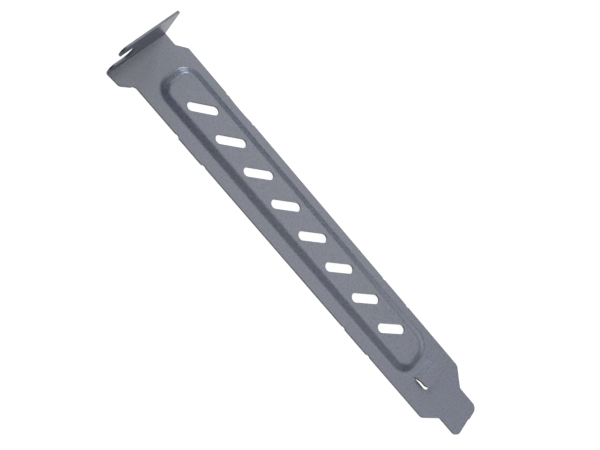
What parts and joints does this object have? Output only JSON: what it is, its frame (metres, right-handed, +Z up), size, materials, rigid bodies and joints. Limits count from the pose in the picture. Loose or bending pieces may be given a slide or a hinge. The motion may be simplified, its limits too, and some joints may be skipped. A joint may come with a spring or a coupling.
{
  "type": "expansion slot cover",
  "caption": "Long stamped and folded sheet plate with a vented raised panel, a notched screw tab and a tapered tongue, closing an unused card slot at the back of a computer case.",
  "frame": {"origin": "middle of the footprint, on the plane of the plate's back face", "axes": "+X along the plate from the screw tab to the tongue, +Y across the plate away from the notch's open side, +Z up from the back face towards the raised panel and the tab's tip"},
  "size_m": [0.121, 0.0218, 0.0108],
  "materials": {
    "grey_paint": "fine textured grey paint, semi-matt"
  },
  "bodies": {
    "root": {"slot_cover": "grey_paint"}
  },
  "joints": []
}
